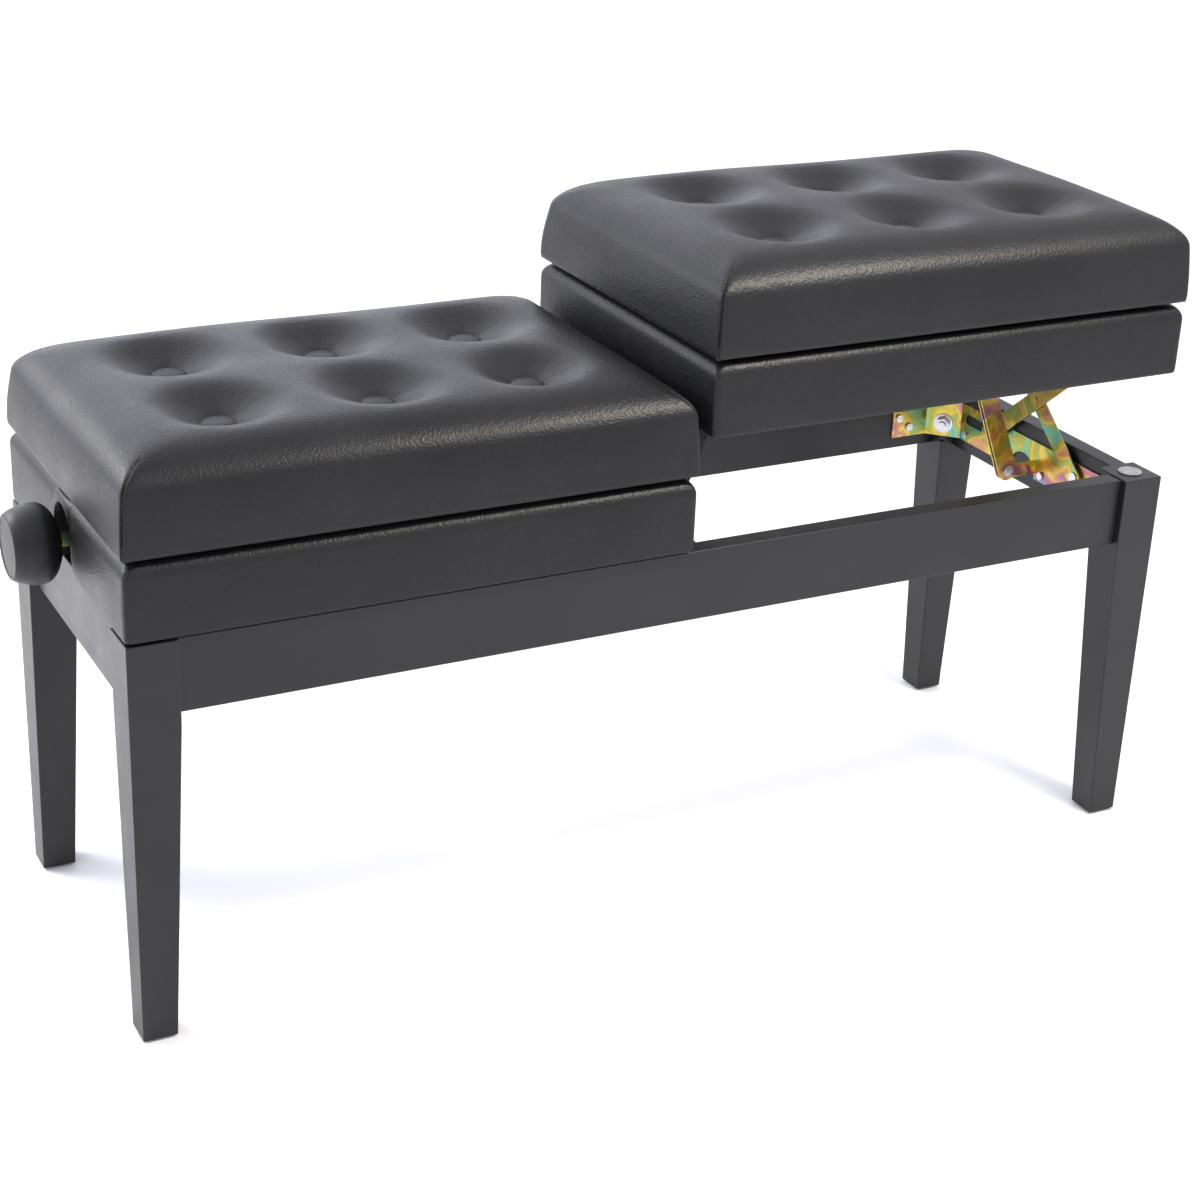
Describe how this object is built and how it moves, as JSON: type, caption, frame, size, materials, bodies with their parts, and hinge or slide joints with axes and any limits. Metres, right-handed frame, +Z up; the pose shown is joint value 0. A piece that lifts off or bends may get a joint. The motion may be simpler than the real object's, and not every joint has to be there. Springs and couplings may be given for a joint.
{
  "type": "piano bench",
  "caption": "Duet piano bench: two tufted storage seats side by side on one wooden frame, each raised by a knob, a screw and scissors under the seat.",
  "frame": {"origin": "on the floor under the middle of the bench", "axes": "+X along the bench towards the raised seat, -Y to the front, +Z up"},
  "size_m": [1.092, 0.334, 0.606],
  "materials": {
    "black_lacquered_wood": "satin black lacquer",
    "glide_plastic": "matte",
    "felt": "pressed felt",
    "bright_steel": "bright zinc plated",
    "zinc_steel": "yellow zinc passivated",
    "leather": "semi-gloss pebbled leather",
    "box_wood": "sanded",
    "lining_board": "black lined board",
    "black_plastic": "satin black"
  },
  "bodies": {
    "frame": {"leg_front_left": "black_lacquered_wood", "leg_front_right": "black_lacquered_wood", "leg_back_left": "black_lacquered_wood", "leg_back_right": "black_lacquered_wood", "front_rail": "black_lacquered_wood", "back_rail": "black_lacquered_wood", "left_end_rail": "black_lacquered_wood", "right_end_rail": "black_lacquered_wood", "centre_rail": "black_lacquered_wood", "foot_glides": "glide_plastic", "leg_top_pads": "felt", "leg_bolt_sets": "bright_steel", "base_plate_screws": "bright_steel", "base_pivot_pins": "bright_steel", "left_outer_base_plate": "zinc_steel", "left_inner_base_plate": "zinc_steel", "right_outer_base_plate": "zinc_steel", "right_inner_base_plate": "zinc_steel"},
    "left_seat": {"left_box_frame": "box_wood", "left_box_floor": "lining_board", "left_box_leather": "leather", "left_outer_upper_plate": "zinc_steel", "left_inner_upper_plate": "zinc_steel", "left_hinge_fixed_leaf": "bright_steel", "left_hinge_pin": "bright_steel"},
    "left_lid": {"left_lid_board": "lining_board", "left_lid_cushion": "leather", "left_cushion_buttons": "leather", "left_hinge_moving_leaf": "bright_steel"},
    "left_screw": {"left_adjusting_screw": "zinc_steel", "left_knob": "black_plastic"},
    "left_outer_nut": {"left_outer_nut": "zinc_steel"},
    "left_outer_link": {"left_outer_link": "zinc_steel"},
    "left_outer_arm_a": {"left_outer_arm_a": "zinc_steel"},
    "left_outer_arm_b": {"left_outer_arm_b": "zinc_steel"},
    "left_inner_nut": {"left_inner_nut": "zinc_steel"},
    "left_inner_link": {"left_inner_link": "zinc_steel"},
    "left_inner_arm_a": {"left_inner_arm_a": "zinc_steel"},
    "left_inner_arm_b": {"left_inner_arm_b": "zinc_steel"},
    "right_seat": {"right_box_frame": "box_wood", "right_box_floor": "lining_board", "right_box_leather": "leather", "right_outer_upper_plate": "zinc_steel", "right_inner_upper_plate": "zinc_steel", "right_hinge_fixed_leaf": "bright_steel", "right_hinge_pin": "bright_steel"},
    "right_lid": {"right_lid_board": "lining_board", "right_lid_cushion": "leather", "right_cushion_buttons": "leather", "right_hinge_moving_leaf": "bright_steel"},
    "right_screw": {"right_adjusting_screw": "zinc_steel", "right_knob": "black_plastic"},
    "right_outer_nut": {"right_outer_nut": "zinc_steel"},
    "right_outer_link": {"right_outer_link": "zinc_steel"},
    "right_outer_arm_a": {"right_outer_arm_a": "zinc_steel"},
    "right_outer_arm_b": {"right_outer_arm_b": "zinc_steel"},
    "right_inner_nut": {"right_inner_nut": "zinc_steel"},
    "right_inner_link": {"right_inner_link": "zinc_steel"},
    "right_inner_arm_a": {"right_inner_arm_a": "zinc_steel"},
    "right_inner_arm_b": {"right_inner_arm_b": "zinc_steel"}
  },
  "joints": [
    {"name": "left_seat_lift", "type": "slide", "parent": "frame", "child": "left_seat", "axis": [0, 0, 1], "range_m": [0, 0.1]},
    {"name": "left_lid_hinge", "type": "hinge", "parent": "left_seat", "child": "left_lid", "pos_m": [-0.2525, 0.1653, 0.425], "axis": [-1, 0, 0], "range_deg": [0, 85]},
    {"name": "left_screw_spin", "type": "hinge", "parent": "left_seat", "child": "left_screw", "pos_m": [-0.2425, 0, 0.383], "axis": [1, 0, 0], "range_deg": [0, 4421.62]},
    {"name": "left_outer_nut_slide", "type": "slide", "parent": "left_seat", "child": "left_outer_nut", "axis": [1, 0, 0], "range_m": [-0.09826, 0]},
    {"name": "left_outer_link_swing", "type": "hinge", "parent": "frame", "child": "left_outer_link", "pos_m": [-0.438, -0.012, 0.318], "axis": [0, 1, 0], "range_deg": [-46.27, 0]},
    {"name": "left_outer_arm_a_swing", "type": "hinge", "parent": "frame", "child": "left_outer_arm_a", "pos_m": [-0.469, -0.078, 0.328], "axis": [1, 0, 0], "range_deg": [0, 35.43]},
    {"name": "left_outer_arm_b_swing", "type": "hinge", "parent": "left_outer_arm_a", "child": "left_outer_arm_b", "pos_m": [-0.4655, 0.01068, 0.3355], "axis": [1, 0, 0], "range_deg": [-70.86, 0]},
    {"name": "left_inner_nut_slide", "type": "slide", "parent": "left_seat", "child": "left_inner_nut", "axis": [1, 0, 0], "range_m": [0, 0.09826]},
    {"name": "left_inner_link_swing", "type": "hinge", "parent": "frame", "child": "left_inner_link", "pos_m": [-0.047, -0.012, 0.318], "axis": [0, 1, 0], "range_deg": [0, 46.27]},
    {"name": "left_inner_arm_a_swing", "type": "hinge", "parent": "frame", "child": "left_inner_arm_a", "pos_m": [-0.016, -0.078, 0.328], "axis": [1, 0, 0], "range_deg": [0, 35.43]},
    {"name": "left_inner_arm_b_swing", "type": "hinge", "parent": "left_inner_arm_a", "child": "left_inner_arm_b", "pos_m": [-0.0195, 0.01068, 0.3355], "axis": [1, 0, 0], "range_deg": [-70.86, 0]},
    {"name": "right_seat_lift", "type": "slide", "parent": "frame", "child": "right_seat", "axis": [0, 0, 1], "range_m": [-0.1, 0]},
    {"name": "right_lid_hinge", "type": "hinge", "parent": "right_seat", "child": "right_lid", "pos_m": [0.2525, 0.1653, 0.525], "axis": [-1, 0, 0], "range_deg": [0, 85]},
    {"name": "right_screw_spin", "type": "hinge", "parent": "right_seat", "child": "right_screw", "pos_m": [0.2425, 0, 0.483], "axis": [1, 0, 0], "range_deg": [-4421.62, 0]},
    {"name": "right_outer_nut_slide", "type": "slide", "parent": "right_seat", "child": "right_outer_nut", "axis": [1, 0, 0], "range_m": [-0.09826, 0]},
    {"name": "right_outer_link_swing", "type": "hinge", "parent": "frame", "child": "right_outer_link", "pos_m": [0.438, -0.012, 0.318], "axis": [0, 1, 0], "range_deg": [-46.27, 0]},
    {"name": "right_outer_arm_a_swing", "type": "hinge", "parent": "frame", "child": "right_outer_arm_a", "pos_m": [0.469, -0.078, 0.328], "axis": [1, 0, 0], "range_deg": [-35.43, 0]},
    {"name": "right_outer_arm_b_swing", "type": "hinge", "parent": "right_outer_arm_a", "child": "right_outer_arm_b", "pos_m": [0.4655, -0.01007, 0.3855], "axis": [1, 0, 0], "range_deg": [0, 70.86]},
    {"name": "right_inner_nut_slide", "type": "slide", "parent": "right_seat", "child": "right_inner_nut", "axis": [1, 0, 0], "range_m": [0, 0.09826]},
    {"name": "right_inner_link_swing", "type": "hinge", "parent": "frame", "child": "right_inner_link", "pos_m": [0.047, -0.012, 0.318], "axis": [0, 1, 0], "range_deg": [0, 46.27]},
    {"name": "right_inner_arm_a_swing", "type": "hinge", "parent": "frame", "child": "right_inner_arm_a", "pos_m": [0.016, -0.078, 0.328], "axis": [1, 0, 0], "range_deg": [-35.43, 0]},
    {"name": "right_inner_arm_b_swing", "type": "hinge", "parent": "right_inner_arm_a", "child": "right_inner_arm_b", "pos_m": [0.0195, -0.01007, 0.3855], "axis": [1, 0, 0], "range_deg": [0, 70.86]}
  ],
  "couplings": [
    {"joint": "left_screw_spin", "follows": "left_seat_lift", "rad_per_m": 771.33},
    {"joint": "left_outer_nut_slide", "follows": "left_seat_lift", "ratio": -0.98209},
    {"joint": "left_outer_link_swing", "follows": "left_seat_lift", "rad_per_m": -8.0712},
    {"joint": "left_outer_arm_a_swing", "follows": "left_seat_lift", "rad_per_m": 6.1805},
    {"joint": "left_outer_arm_b_swing", "follows": "left_seat_lift", "rad_per_m": -12.361},
    {"joint": "left_inner_nut_slide", "follows": "left_seat_lift", "ratio": 0.98209},
    {"joint": "left_inner_link_swing", "follows": "left_seat_lift", "rad_per_m": 8.0712},
    {"joint": "left_inner_arm_a_swing", "follows": "left_seat_lift", "rad_per_m": 6.1805},
    {"joint": "left_inner_arm_b_swing", "follows": "left_seat_lift", "rad_per_m": -12.361},
    {"joint": "right_screw_spin", "follows": "right_seat_lift", "rad_per_m": 771.33},
    {"joint": "right_outer_nut_slide", "follows": "right_seat_lift", "ratio": 0.98209},
    {"joint": "right_outer_link_swing", "follows": "right_seat_lift", "rad_per_m": 8.0712},
    {"joint": "right_outer_arm_a_swing", "follows": "right_seat_lift", "rad_per_m": 6.1805},
    {"joint": "right_outer_arm_b_swing", "follows": "right_seat_lift", "rad_per_m": -12.361},
    {"joint": "right_inner_nut_slide", "follows": "right_seat_lift", "ratio": -0.98209},
    {"joint": "right_inner_link_swing", "follows": "right_seat_lift", "rad_per_m": -8.0712},
    {"joint": "right_inner_arm_a_swing", "follows": "right_seat_lift", "rad_per_m": 6.1805},
    {"joint": "right_inner_arm_b_swing", "follows": "right_seat_lift", "rad_per_m": -12.361}
  ]
}
